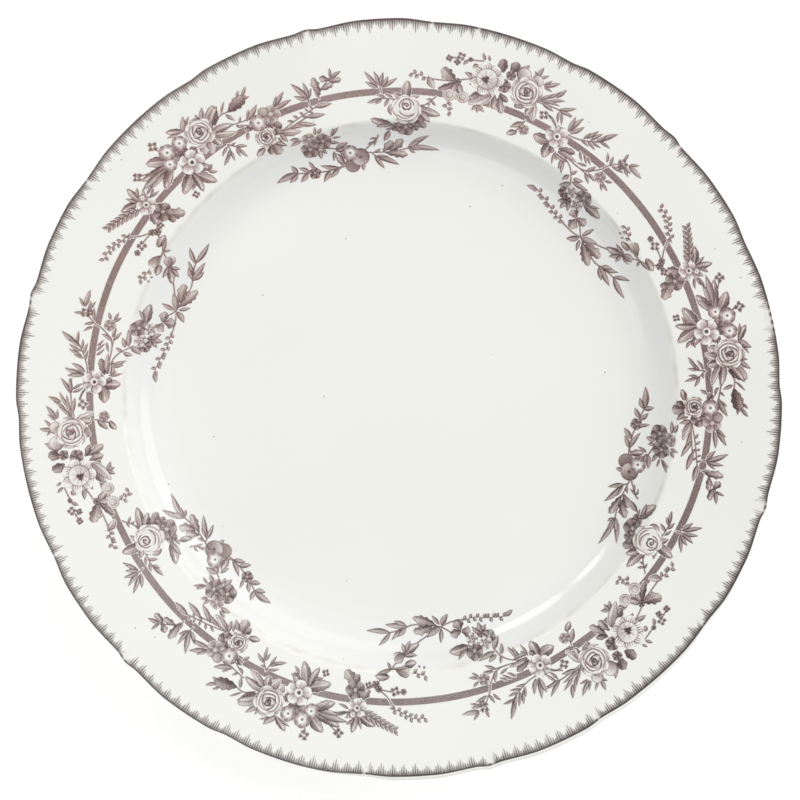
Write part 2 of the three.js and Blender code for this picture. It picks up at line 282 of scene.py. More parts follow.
def drawStem(sheet, places, width=0.45, tone=0.66):
    # a smooth curve through the places, laid down in short straight strokes
    bare = np.array([flatPlace(place) for place in places])
    ends = np.concatenate([[2 * bare[0] - bare[1]], bare, [2 * bare[-1] - bare[-2]]])
    line = []
    for p, q, r, s in zip(ends[:-3], ends[1:-2], ends[2:-1], ends[3:]):
        for t in np.linspace(0, 1, 6, endpoint=False):
            bend = (2 * p - 5 * q + 4 * r - s) * t * t + (3 * q - p - 3 * r + s) * t ** 3
            line.append(0.5 * (2 * q + (r - p) * t + bend))
    line.append(bare[-1])
    for start, end in zip(line[:-1], line[1:]):
        middle, run = (start + end) / 2, end - start
        size = np.linalg.norm(run)
        dx, dy = sheet["x"] - middle[0], sheet["y"] - middle[1]
        pick = np.nonzero(dx * dx + dy * dy < (size / 2 + 1) ** 2)[0]
        share = np.clip((dx[pick] * run[0] + dy[pick] * run[1]) / size ** 2, -0.5, 0.5)
        away = np.hypot(dx[pick] - share * run[0], dy[pick] - share * run[1])
        layInk(sheet, pick, soften(width / 2 - away, printDrawing["blur"]), tone)


def drawFeather(sheet, spot, length, width, heading):
    pairs = max(3, round(length / 1.9))        # mm between pairs of leaflets
    head = math.radians(heading)
    for k in range(pairs):
        for side in (-1, 1):
            along = length * (k + 0.45 + 0.22 * side) / (pairs + 0.4)
            size = width * (1.15 - 0.4 * k / pairs)
            out = spot[1] + along * math.sin(head)
            around = spot[0] + math.degrees(along * math.cos(head) / out)
            drawBlade(sheet, (around, out), size, 1.15, heading + side * 36, "slim")
    drawBlade(sheet, spot, length, 0.5, heading, "slim")


def drawBeads(sheet, places):
    # a thin stalk with small bells on either side, about 1.15 mm apart and as wide
    drawStem(sheet, places, 0.28, 0.6)
    for start, end in zip(places[:-1], places[1:]):
        run = math.radians(end[0] - start[0]) * start[1], end[1] - start[1]
        beads = max(2, round(math.hypot(*run) / 1.15))
        for k in range(beads):
            share, side = (k + 0.5) / beads, 1 if k % 2 else -1
            spot = (start[0] + share * (end[0] - start[0]), start[1] + share * (end[1] - start[1]))
            heading = math.degrees(math.atan2(run[1], run[0])) + 55 * side
            drawBlade(sheet, spot, 1.7, 1.15, heading, "slim", 0.1)


def rolledLips(tone, x, y, size, lips):
    # petals laid one over the last. Each lip: its circle's middle and radius in shares of the flower, the way it
    # faces and half its run in degrees, its shade
    for middleX, middleY, radius, facing, half, shade in lips:
        dx, dy = x - middleX, y - middleY
        inside = (radius - np.hypot(dx, dy)) * size
        off = np.abs((np.degrees(np.arctan2(dy, dx)) - facing + 180) % 360 - 180)
        run = np.clip((half - off) / 18, 0, 1)
        over = soften(inside, 0.14) * run
        fresh = 0.06 + shade * (0.6 * np.exp(-(inside / 0.36) ** 2) + 0.42 * np.exp(-inside.clip(0) / 0.5))
        tone = tone * (1 - over) + fresh * over
        tone = tone - 0.25 * run * np.exp(-((inside + 0.3) / 0.18) ** 2)
    return tone


def layFlower(sheet, pick, tone, inside, edgeTone):      # a whole flower's ink, with a line along its outline
    tone = tone + edgeTone * np.exp(-(inside / 0.22) ** 2)
    layInk(sheet, pick, soften(inside, printDrawing["blur"]), tone)


def drawRose(sheet, spot, size):
    # loose outer petals behind a cup of rolled lips round a dark heart
    drawRing(sheet, spot, size, 5, 1.14, 1.0, "grey", 20, 0.35)
    drawRing(sheet, spot, size, 4, 1.1, 0.8, "petal", 62, 0.35)
    pick, along, across = localAt(sheet, spot, 0, size + 1)
    x, y = across / size, along / size
    tone = 0.08 + 0.16 * np.clip(-x - y, 0, 1) + 0.06 * np.cos(2 * math.pi * (across - along) / 1.1)
    tone = rolledLips(tone, x, y, size, [
        (0.0, -0.06, 0.86, 85, 78, 0.8), (0.26, 0.02, 1.06, 188, 42, 0.85), (-0.2, 0.05, 0.92, -8, 50, 0.6),
        (0.02, 0.3, 1.0, 268, 46, 0.85), (0.3, 0.1, 0.86, 200, 48, 0.95), (0.02, -0.2, 0.72, 80, 62, 1.1),
        (-0.12, 0.2, 0.74, 292, 52, 0.95), (0.26, 0.12, 0.58, 175, 60, 1.0), (-0.06, -0.02, 0.44, 5, 62, 1.1),
        (0.12, 0.2, 0.42, 255, 62, 1.0), (0.06, -0.12, 0.32, 95, 60, 1.1), (0.04, 0.06, 0.16, 250, 100, 1.1)])
    tone += 0.3 * np.exp(-((x - 0.06) ** 2 + (y + 0.02) ** 2) / 0.14)
    outline = 0.93 * (1 + 0.04 * np.cos(3 * np.arctan2(y, x) + 0.6)) - np.hypot(x, y)
    layFlower(sheet, pick, tone, outline * size, 0.55)


def drawPeony(sheet, spot, size):
    # a bowl of light petals under a heart of fine dark ones
    drawRing(sheet, spot, size, 7, 1.1, 0.9, "petal", 30, 0.3)
    pick, along, across = localAt(sheet, spot, 0, size + 1)
    x, y = across / size, along / size
    tone = 0.06 + 0.1 * np.clip(-y, 0, 1) + 0.05 * np.cos(2 * math.pi * along / 1.1)
    tone = rolledLips(tone, x, y, size, [
        (0.1, 0.0, 0.98, 180, 80, 0.5), (0.16, 0.06, 0.84, 186, 62, 0.75), (0.25, -0.1, 0.76, 168, 55, 0.85),
        (0.26, -0.04, 0.56, 10, 100, 1.0), (0.3, -0.14, 0.46, 100, 62, 1.1), (0.3, 0.06, 0.44, 262, 60, 1.1),
        (0.36, -0.05, 0.38, 182, 72, 1.1), (0.26, 0.0, 0.24, 0, 80, 1.2), (0.32, -0.06, 0.12, 200, 120, 1.2)])
    outline = 0.95 * (1 + 0.06 * np.cos(5 * np.arctan2(across, along))) - np.hypot(x, y)
    layFlower(sheet, pick, tone, outline * size, 0.45)


def drawDaffodil(sheet, spot, size):
    # frilled petals round an open trumpet whose dark throat sits above its middle
    drawRing(sheet, spot, size, 7, 1.16, 0.82, "ray", 20, 0.3)
    pick, along, across = localAt(sheet, spot, 0, size)
    reach = np.hypot(along, across)
    cup = size * 0.74
    x, y = along - 0.1 * size, across + 0.06 * size
    throat, turn = np.hypot(x, y) / cup, np.arctan2(y, x)
    tone = 0.05 + 0.6 * np.exp(-((cup - reach) / 0.24) ** 2) + 0.22 * np.clip((-along - across) / cup, 0, 1)
    tone += 0.5 * np.exp(-(throat / 0.55) ** 2) * (0.5 + 0.5 * np.cos(9 * turn + 0.8 * np.sin(2 * turn)))
    hole = 0.3 + 0.07 * np.cos(3 * turn) + 0.05 * np.cos(7 * turn + 1)
    tone += 0.85 * soften(cup * hole - throat * cup, 0.3)
    layInk(sheet, pick, soften(cup - reach, printDrawing["blur"]), tone)


def drawTiny(sheet, spot, size):           # a knot of small separate florets
    away = size * 0.58
    for k in range(4):
        turn = 2 * math.pi * k / 4 + 0.9 * spot[0]
        there = (spot[0] + math.degrees(away * math.cos(turn) / spot[1]), spot[1] + away * math.sin(turn))
        drawRing(sheet, there, max(0.62, size * 0.44), 3, 1.0, 1.1, "grey", 40 * k)


bigFlowers = {"rose": drawRose, "peony": drawPeony, "daffodil": drawDaffodil, "tiny": drawTiny}

# Small flowers are rings of petals, then discs. A ring: share of the flower's size, number of petals, their
# width, kind and first heading. A disc: share of the size, tones at its light and shaded sides, tone of its rim.
smallFlowers = {
    "blossom": ([(1, 6, 1.05, "shaded", 20)], [(0.5, -0.05, 0.12, 0.1), (0.15, 0.6, 0.7, 0.1)]),
    "five": ([(0.9, 5, 0.5, "dark", 86), (1, 5, 0.96, "petal", 50)],      # shade shows between its petals
             [(0.37, -0.08, 0.12, 0.5), (0.15, 0.8, 0.95, 0.1)]),
    "greyFive": ([(1, 5, 0.95, "grey", 50)], [(0.28, 0.1, 0.4, 0.3)]),
    "darkFlower": ([(1, 5, 1.0, "dark", 30)], [(0.18, 0.2, 0.4, 0.1)]),
    "filler": ([(1, 5, 1.0, "dark", 10)], []),
    "paleBud": ([], [(1, 0.04, 0.55, 0.5)]),
    "bell": ([], [(1, 0.05, 0.2, 0.45), (0.62, 0.1, 0.35, 0.4)]),         # its open mouth
    "lobe": ([], [(1, 0.25, 0.55, 0.4)]),
    "berry": ([], [(1, 0.75, 0.22, 0.3), (0.2, 0.7, 0.8, 0.1)]),
    "darkBerry": ([], [(1, 0.8, 0.5, 0.25)]),
}


def drawFlower(sheet, kind, spot, size):
    if kind in bigFlowers:
        return bigFlowers[kind](sheet, spot, size)
    rings, discs = smallFlowers[kind]
    for share, count, wide, petal, turn in rings:
        drawRing(sheet, spot, size * share, count, 1.0, wide, petal, turn)
    for share, light, shade, rim in discs:
        drawDisc(sheet, spot, size * share, light, shade, rim)


# Each spray: stems and beads through (angle, radius) places; leaves from base to tip as (angle, radius, angle,
# radius, width, kind), slim where no kind is given; flowers as (kind, angle, radius, size). Later ones lie over
# earlier ones. Angles in degrees, sizes in mm. Shifts move each of the three repeats: degrees round, mm outwards
# and stretch round.
roseBouquet = {
    "shifts": [(0, 0, 1), (-1.6, -0.2, 1), (-1.5, 0, 1)],
    "stems": [
        [(2, 113.5), (3.8, 113.9), (5.5, 112)], [(5.6, 104.2), (4.5, 101.9), (4, 99)], [(5.6, 104.2),
        (6, 101.4), (7.6, 99.4)], [(15.6, 117), (15.9, 119)], [(19.6, 114.4), (21.2, 116.4)]],
    "beads": [],
    "leaves": [
        (2.3, 113.5, -1.6, 115.8, 4, "dark"), (-1, 116, -2.4, 118.5, 1.2), (-0.2, 116.4, -1.1, 118.3, 0.9),
        (-1.1, 115, -2.2, 114.9, 0.9), (2.9, 113.3, 2.1, 109.8, 1.3), (3.5, 114.2, 1.9, 117.4, 0.8),
        (6.7, 112.8, 3.8, 118.2, 4.6, "broad"), (6.6, 112, 3.4, 117.3, 2.4, "broad"),
        (7.2, 115.6, 5.5, 119.7, 1.7), (7.4, 116, 7.1, 119, 1.1), (10, 117.2, 8, 119.7, 1),
        (10.6, 116.6, 8.9, 120.9, 2.2), (10.4, 117, 12.7, 120.3, 2.3, "broad"), (11.2, 117.4, 13.2, 118.5, 1),
        (15.8, 112.4, 18.7, 117.2, 3.8, "broad"), (17, 112.4, 21.3, 114.4, 2.9, "broad"),
        (16.8, 111, 22.6, 112.3, 2.5), (17, 110.6, 21.5, 110.3, 1.6, "pale"),
        (16.6, 110.4, 19.7, 106.7, 3.2, "broad"), (16.2, 109.6, 18.9, 106.4, 1.8, "pale"),
        (21, 109.9, 22.8, 108.8, 0.9), (13.6, 104.6, 18.2, 100.9, 4, "broad"),
        (13.9, 104.4, 11.7, 96.3, 3.5, "broad"), (14.2, 104, 15.1, 96.8, 2.5, "broad"),
        (14.9, 100.4, 16.5, 99.8, 1), (12.7, 104.6, 10.6, 100.8, 2.7, "broad"), (11.5, 101.6, 10.1, 101.9, 0.9),
        (11.7, 101, 10.3, 98.8, 1.1), (4.7, 102.2, 2.6, 100.2, 1.2), (4.3, 101.4, 3.7, 96.9, 1.1),
        (4.6, 101.6, 4.9, 98.3, 1), (5.3, 103.2, 4.1, 103.3, 0.8), (5.8, 103.7, 7.8, 101.8, 1),
        (5.8, 102.4, 7.5, 100.2, 1), (5.8, 101.8, 6.3, 98.3, 1), (6.1, 101, 8.6, 98.9, 1.2),
        (7.3, 110.4, 2.7, 109.2, 2.7, "broad"), (6.8, 109.6, 2.8, 106.2, 2.3, "pale"),
        (7, 109.8, 6.6, 105.2, 2.8, "broad"), (7.8, 109.2, 8.8, 104.8, 2.6, "pale"),
        (9.2, 109.4, 9.7, 106, 2.8, "pale")],
    "flowers": [
        ("filler", 13.2, 111.2, 3), ("filler", 11.2, 109.6, 1.6), ("rose", 8.3, 113, 4.7),
        ("blossom", 15.9, 111.4, 2.6), ("blossom", 12.2, 114.5, 2.7), ("blossom", 14.8, 114.9, 2.9),
        ("five", 12.8, 106.8, 4.4), ("tiny", 15.8, 119.7, 1.9), ("tiny", 21.3, 116.4, 1.8),
        ("tiny", 16.6, 97.9, 1.4)],
}
trailingSpray = {
    "shifts": [(0, 0, 1), (-1.7, 0.5, 1), (-2.0, -0.4, 1)],
    "stems": [
        [(25, 101.4), (27.3, 99.4), (28.6, 96), (30.2, 93.8), (32, 90.6), (35.4, 86.4), (38.6, 83.6),
        (41.5, 81.6)], [(27.9, 100.6), (29.8, 103.3), (31.2, 107)], [(28.4, 100.8), (30.6, 101.3)], [(30.2, 94),
        (34, 93.2)], [(44, 84.4), (41.5, 81.6), (38, 80.4), (35, 80), (33.4, 80.6), (31, 82), (29.2, 82.7)],
        [(41.6, 81.5), (44, 80.6), (47.2, 80.6)]],
    "beads": [
        [(30.2, 106.7), (32.5, 108), (34.4, 110), (36.8, 110.2)], [(34.5, 95), (36, 95.4), (37.6, 96.5)],
        [(47, 81), (50, 81), (52.4, 82.3), (54.6, 83.3), (57, 84.4)]],
    "leaves": [
        (24.5, 109.8, 24, 116, 2.3, "broad"), (24.9, 110, 25.5, 114.4, 1.3), (24, 111.4, 22.8, 113.6, 1.2),
        (25, 110.2, 27.9, 112.9, 2.8, "broad"), (25.4, 108.6, 31.8, 115, 2.9, "feather"),
        (23.8, 108.8, 22.5, 111.6, 1.7, "pale"), (22.8, 108.4, 20.8, 107.2, 1), (22.8, 109.4, 20.3, 110.4, 1),
        (23.4, 100.6, 20.9, 95.7, 3.5, "lobe"), (23, 100, 23.7, 96.4, 2.4, "dark"),
        (25.2, 104.8, 26, 100.8, 2.8, "lobe"), (24.2, 105.8, 22.6, 103.4, 2.2, "pale"),
        (29.9, 96.3, 27, 96.4, 2.6, "broad"), (30.2, 94, 27.4, 95.4, 1.2), (30, 94, 29.2, 92, 1),
        (31.2, 94.2, 34.1, 95.4, 3.6, "grey"), (33, 92.6, 35.4, 92, 2.3, "broad"),
        (30.4, 93.8, 33.6, 93.6, 0.8), (36, 93.6, 36.1, 92.8, 0.8), (37, 94, 37.1, 93.1, 0.8),
        (32.4, 90.2, 36.1, 86.3, 2.7, "broad"), (32.6, 89.4, 34.1, 85.2, 1.7), (32.8, 89.2, 32.2, 86.1, 1.4),
        (32.8, 90.2, 35.6, 90, 1.4), (33, 89.6, 30.3, 90.6, 2.4, "petal"), (33, 89.4, 30.8, 91.8, 2.8, "grey"),
        (41.6, 82, 41, 87, 1.5), (41.4, 81.6, 38, 84.6, 2.4), (39.6, 81, 34.9, 82.4, 3.1, "lobe"),
        (40.6, 81, 34.9, 77.6, 2.9, "lobe"), (41.3, 80.8, 39.7, 77.3, 1.3), (41.7, 81.1, 43.8, 77.6, 2),
        (33.4, 80.6, 29.7, 85.2, 1.7), (33, 80.8, 31.1, 84, 1.8), (33.6, 80.6, 27.9, 80.1, 2),
        (33.2, 80.3, 30, 78.7, 1.4), (29.4, 82.6, 26.9, 87.3, 1.5), (29.4, 82.7, 23.6, 82.9, 1.8),
        (57, 84.4, 59.3, 83.5, 1.5)],
    "flowers": [
        ("darkFlower", 23.5, 101.7, 3.4), ("five", 24.3, 107.6, 3.3), ("blossom", 23.7, 110, 1.4),
        ("tiny", 25.9, 99.6, 1.3), ("filler", 27.3, 99.2, 1.4), ("filler", 28, 100.6, 1.2),
        ("tiny", 31.2, 101.1, 1.8), ("filler", 32.8, 101.2, 1.1)],
}
doubleSpray = {
    "shifts": [(0, 0, 1), (-2.0, -0.2, 1), (-1.4, -1.2, 1)],
    "stems": [
        [(46.8, 110.6), (48.4, 106.6), (49, 104), (50.4, 101), (52, 99.6), (54.6, 99.8), (57.6, 101)],
        [(52.3, 111), (54, 108.8), (56, 107.2), (58, 106.6)], [(60.2, 106.8), (61, 107.8), (62.4, 109.2)],
        [(57, 100.4), (54.4, 98.4), (53, 96.4), (51.6, 93)], [(52, 99.5), (48.6, 99.4)]],
    "beads": [],
    "leaves": [
        (45.8, 111.4, 42.7, 111.4, 1.7, "pale"), (45.8, 111.9, 44.5, 114.1, 1), (46.9, 111.6, 47.2, 114.4, 1),
        (46.2, 110.2, 44.5, 109.9, 1), (46.2, 109.7, 44.4, 108.4, 1), (48.2, 107, 48.9, 110.3, 1.1),
        (49, 107, 50.1, 109.9, 1), (47.9, 107.1, 45.5, 108.3, 1.2), (47, 101.9, 45.7, 103.3, 1),
        (47.1, 100.9, 45.2, 99.9, 1), (47.3, 100.3, 46.1, 98.5, 0.9), (51, 99.8, 50, 103.8, 1.3),
        (50.4, 100.1, 48.3, 99.4, 1), (50.9, 99.4, 48.9, 97.3, 1.1), (52.4, 104.5, 51, 102.7, 0.8),
        (53.4, 104.5, 51.7, 101.9, 0.9), (54.2, 104.4, 52.7, 101.9, 0.9), (51.4, 101.6, 53.4, 100.4, 0.9),
        (52.6, 110.5, 50.7, 117.1, 1.7), (53, 110, 52, 114.4, 1.2), (53.8, 109.4, 52.7, 113.9, 1.2),
        (54.5, 109.2, 53.6, 113.8, 1.2), (55, 108.4, 54.5, 111.8, 1), (52.4, 111, 50.2, 111.4, 1.1),
        (53.5, 109.5, 51.5, 109.6, 0.9), (54.2, 108.7, 52.1, 107.8, 1), (55.4, 107.8, 53.3, 107.4, 0.9),
        (57.5, 107.4, 56, 112.2, 1.5), (57.8, 107.6, 56.9, 114.4, 1.7), (58, 107.6, 58.2, 113.4, 1.6),
        (57.8, 100.9, 54.7, 102.8, 2.5, "dark"), (57.6, 100, 53.5, 100.5, 1.8, "pale"),
        (55.6, 98.6, 54.6, 94.2, 1.3), (56.2, 98.8, 55.6, 94.8, 1.2), (57.4, 99.4, 56.9, 97, 1.3),
        (57.9, 99.6, 57.3, 95, 1), (55, 98.6, 58, 98.8, 1.4), (59.6, 101.4, 59.5, 95.4, 3.5, "broad"),
        (59.4, 100.6, 58.4, 98.4, 1.8, "dark"), (60, 101.4, 63.3, 100.7, 3.8, "broad"),
        (52, 95.3, 50, 96.7, 1.6), (52.8, 95.8, 52.2, 98.4, 1.1), (53, 95.6, 53.6, 92.5, 1.5),
        (51.8, 94.2, 48, 95.4, 1.7), (46.4, 90.4, 42.1, 91, 3.2, "broad"), (45.8, 91.4, 43.8, 93.7, 1.2),
        (45.5, 85.2, 42.9, 85.6, 2.9, "lobe"), (45.6, 85.2, 47.6, 86.2, 3.2, "lobe"),
        (45.4, 85, 44.8, 81, 3.4, "lobe"), (49.6, 87.6, 48.2, 84.6, 1.6), (49.7, 87.8, 49.9, 83.7, 2),
        (49.8, 87.6, 51.5, 85.2, 1.6), (51.6, 93.6, 53.4, 90.1, 2)],
    "flowers": [
        ("tiny", 46.8, 110.6, 1.9), ("tiny", 46.6, 109.2, 1.2), ("darkFlower", 51.5, 89.2, 2.2),
        ("darkFlower", 47.6, 92.2, 3), ("filler", 49.9, 87.6, 1.6), ("five", 50.3, 90.9, 2.1),
        ("five", 47.6, 88.5, 2.1), ("greyFive", 48.1, 101.7, 2.1), ("five", 59.2, 104.2, 4)],
}
daffodilBouquet = {
    "shifts": [(0, 0, 1), (-1.0, -0.7, 1.08), (-0.3, -2.0, 1.1)],
    "stems": [
        [(58.9, 112.4), (62, 112.4), (65.4, 111.6)], [(60.2, 106.8), (61.4, 108.8), (62.4, 109.2)],
        [(76, 118.7), (78.2, 118)], [(80.2, 118), (81.4, 117.6)], [(76.8, 112.2), (79.6, 110.4)], [(80, 109.8),
        (84.4, 109.5), (84.8, 110.2)]],
    "beads": [[(84.9, 109.6), (86.3, 110.4), (87.8, 111)], [(80.7, 103), (80.9, 100.6), (79.8, 98.6)]],
    "leaves": [
        (62.7, 115.6, 61.7, 119.9, 1.4), (64, 114, 62.4, 118.4, 1.1), (63.8, 112.8, 61, 116.2, 1.2),
        (61.3, 112.6, 58.8, 116, 1.3), (61.2, 112.2, 58.7, 113, 1.3), (60.7, 112.2, 59.6, 108.3, 1),
        (61.1, 112, 60.3, 108.2, 1), (64.4, 111.9, 62, 111, 1.5), (65.3, 117.4, 63.1, 120.8, 1.5),
        (65.5, 117.8, 64.4, 120.4, 0.9), (65.2, 117, 63.7, 116.9, 0.9), (66.7, 119.2, 65.2, 121.6, 1),
        (66.9, 119, 66.5, 123.4, 1.5), (66.9, 119.2, 67.6, 121.2, 0.9), (65.2, 112.6, 63.3, 116.6, 1.1),
        (65.3, 112.2, 61.4, 113.8, 1.3), (70.3, 118, 68.7, 122.2, 2.1), (71.2, 117.6, 70.5, 121.6, 3.3, "dark"),
        (72.4, 116.8, 73, 121.2, 3.3, "dark"), (65.8, 111, 64.5, 105.1, 2.8, "pale"),
        (66, 110.8, 66.2, 105.8, 2.5, "broad"), (65.9, 110.8, 68.7, 107, 2.6, "dark"),
        (71.8, 109.4, 70.5, 103, 2.5, "lobe"), (72.7, 108.6, 72.3, 103.6, 2.4, "lobe"),
        (71.9, 109.6, 70.1, 107.6, 2, "dark"), (74, 108, 76.8, 105.8, 2.8, "dark"),
        (73.2, 108, 76.9, 102.9, 3.2, "pale"), (74.9, 103.6, 73.7, 101.7, 1.3), (75, 103.6, 75, 100.8, 1.4),
        (75.1, 103.4, 76.1, 101.2, 1.3), (76.8, 112.3, 78.7, 113.5, 1.6), (76.6, 111, 77.5, 109.6, 1.1),
        (76.7, 117, 77.5, 115.6, 1.6), (75, 119.2, 75.4, 121.2, 0.9), (75.8, 119, 76.4, 121.5, 1.1),
        (78.4, 117.9, 79.2, 115.9, 1.2), (79.8, 109.8, 82.6, 113.6, 3.9, "lobe"),
        (79.8, 109.8, 78.3, 105.4, 2.6, "broad"), (79.8, 109.8, 80.6, 105.4, 2.6, "broad"),
        (79.9, 109.6, 82.9, 106.1, 2, "dark"), (84.8, 110, 83.6, 106.3, 2.4, "pale")],
    "flowers": [
        ("filler", 71, 116.6, 1.8), ("filler", 71.6, 112.4, 2.4), ("paleBud", 66.6, 118.1, 2.1),
        ("paleBud", 69, 118.4, 2.5), ("rose", 67.6, 113, 4.9), ("daffodil", 74.7, 113, 5),
        ("tiny", 63.2, 108.5, 1.8), ("filler", 79.6, 109.8, 1.3), ("bell", 78.2, 104.9, 2),
        ("bell", 80.7, 104.9, 2.1), ("filler", 78.1, 118.2, 0.9), ("tiny", 79.7, 118.7, 1.6),
        ("tiny", 80.2, 116.5, 1.1), ("tiny", 81.6, 117.4, 1.2)],
}
smallSprig = {
    "shifts": [(0, 0, 1), (-1.5, 0.1, 1), (-0.9, -1.5, 1)],
    "stems": [[(65.8, 104), (66.3, 101.2), (66.8, 99)]],
    "beads": [],
    "leaves": [(66, 103.2, 68, 99.8, 1.8), (66.4, 99.2, 68.2, 97.2, 2, "broad")],
    "flowers": [("greyFive", 65.4, 100.8, 1.9)],
}
peonySpray = {
    "shifts": [(0, 0, 1), (1.1, 0.2, 1), (1.6, -1.1, 1)],
    "stems": [
        [(90.6, 101.8), (93.6, 102.3), (95, 101.8)], [(86.2, 99.8), (84.8, 100.6), (83.1, 103.6)], [(95, 89.2),
        (95.4, 88), (97.4, 85.6), (98.2, 84.8)]],
    "beads": [],
    "leaves": [
        (88.9, 101.6, 88.4, 108.4, 3.3, "broad"), (88.4, 102, 86.2, 103.3, 1.5), (89.2, 101.8, 91, 104.3, 2.1),
        (90, 101.8, 91.5, 100.4, 1.3), (92, 102.2, 93, 99.3, 1.2), (93.3, 102.2, 94.7, 100.4, 1.1),
        (92.6, 102.4, 94.3, 103.6, 1), (93.9, 102.2, 96.2, 101.2, 1.3), (91.2, 102.4, 92.8, 103.8, 0.9),
        (86.8, 99.2, 81.9, 97.3, 3, "broad"), (86.4, 98, 83.9, 94.5, 2.4, "broad"),
        (86.6, 96.4, 84.7, 92.1, 2.8, "dark"), (84, 102, 83, 100.3, 0.9), (83.7, 102.4, 84.9, 102.3, 0.8),
        (84.4, 101.4, 84.2, 99.8, 0.8), (91.6, 92.9, 95.9, 95.5, 3, "broad"), (92, 92.8, 95.1, 92.5, 1.5),
        (91.5, 91.4, 93.3, 91.2, 0.9), (92.4, 90.8, 93.9, 86.9, 1.9), (95.4, 88.2, 97, 88, 0.8),
        (96, 87.2, 97.7, 86.3, 0.8), (95.4, 88.2, 96.3, 85.3, 0.8)],
    "flowers": [
        ("darkFlower", 88.9, 92, 3.3), ("filler", 91, 92, 1.8), ("filler", 87, 92.4, 1.8),
        ("paleBud", 91.2, 98.3, 2), ("peony", 88.7, 98.3, 4.7)],
}
fanSprig = {
    "shifts": [(0, 0, 1), (0.6, 1.0, 1), (1.3, -0.2, 1)],
    "stems": [[(93.3, 104.4), (93.5, 106.4)]],
    "beads": [],
    "leaves": [
        (93.2, 106, 90.3, 109.2, 1.4), (93.2, 106.2, 91.9, 109.9, 1.4), (93.4, 106.4, 92.7, 111.4, 1.5),
        (93.6, 106.6, 94.4, 111.8, 1.4), (93.9, 106.4, 96, 112, 1.5), (93.8, 106, 96.1, 108.5, 1.4)],
    "flowers": [],
}
budSprig = {
    "shifts": [(0, 0, 1), (1.4, 1.0, 1), (2.0, 0, 1)],
    "stems": [[(104.9, 105.4), (104.5, 107.6), (102.2, 111.6)], [(106.9, 104.8), (106.8, 107)]],
    "beads": [],
    "leaves": [
        (102.1, 111.6, 100, 113.3, 1.4), (102.1, 111.8, 101.8, 115, 1),
        (102.3, 111.2, 103.9, 112.4, 2.2, "lobe"), (102.7, 111, 100.2, 110.5, 2.1, "lobe"),
        (104.3, 108.2, 101.8, 109.5, 2, "lobe"), (104.5, 106.6, 105, 113, 2.6, "lobe"),
        (104.9, 106, 105.4, 108.2, 1), (106.7, 106.4, 105.7, 109.8, 1.2), (106.7, 106.6, 106.8, 112.4, 1.4),
        (106.8, 106.4, 108.9, 113.2, 1.9), (106.9, 106.2, 109.1, 108.8, 1.5)],
    "flowers": [],
}
cornerSpray = {
    "shifts": [(0, 0, 1), (-0.2, 1.0, 1), (1.7, 0.5, 1)],
    "stems": [
        [(106, 103), (110.4, 100.8), (114, 99)], [(108.4, 100.5), (111, 99.4), (114, 98.8)], [(118.7, 107.8),
        (121.2, 108.8)], [(118.6, 105.6), (120, 107.2)]],
    "beads": [],
    "leaves": [
        (113.4, 107.4, 110.5, 111.6, 1.7), (113.4, 107.6, 112, 111.1, 1.1), (113, 106.6, 109.7, 108, 1.6),
        (118.9, 107.6, 115.7, 111, 2), (118.4, 108.2, 117.4, 110.8, 0.9), (120, 108.2, 119.2, 109.9, 0.8),
        (120.8, 108, 119.7, 106.3, 1), (118.3, 104.2, 119.8, 105.5, 1.8, "dark"),
        (119.5, 104, 120.4, 101.6, 1.2), (118.2, 96.4, 120.5, 95.3, 2.1, "broad"),
        (116.5, 96.8, 116.1, 92, 3.6, "lobe"), (116.8, 96.4, 117.8, 93.4, 2.2, "dark"),
        (115.8, 96.4, 114, 93.8, 1.7), (106.2, 103.1, 102.8, 102.9, 1.8), (106.6, 102.7, 107.1, 104, 0.8),
        (107.6, 102.4, 108, 103.8, 0.8), (108.7, 101.8, 109.2, 103, 0.9), (109.8, 101.2, 110.6, 102.7, 0.9),
        (110.8, 100.7, 112, 101.7, 0.9), (107.4, 102.4, 106.6, 101.2, 0.8), (109, 101.4, 107.8, 100.2, 0.9),
        (108.4, 100.8, 104.5, 99.8, 1.8), (110.4, 99.9, 106.8, 97.1, 1.7), (112.2, 99, 108.9, 97.8, 1.2),
        (114, 98.8, 110.1, 96.7, 2.4, "pale"), (114.3, 98.8, 113.5, 94.8, 1.5), (115, 97.8, 114.3, 94.6, 1)],
    "flowers": [
        ("darkFlower", 114.8, 101.2, 2.9), ("rose", 117, 99.6, 3.3), ("greyFive", 114.3, 105.9, 3.3),
        ("lobe", 115.4, 107.7, 1.7), ("blossom", 117, 105.1, 3)],
}
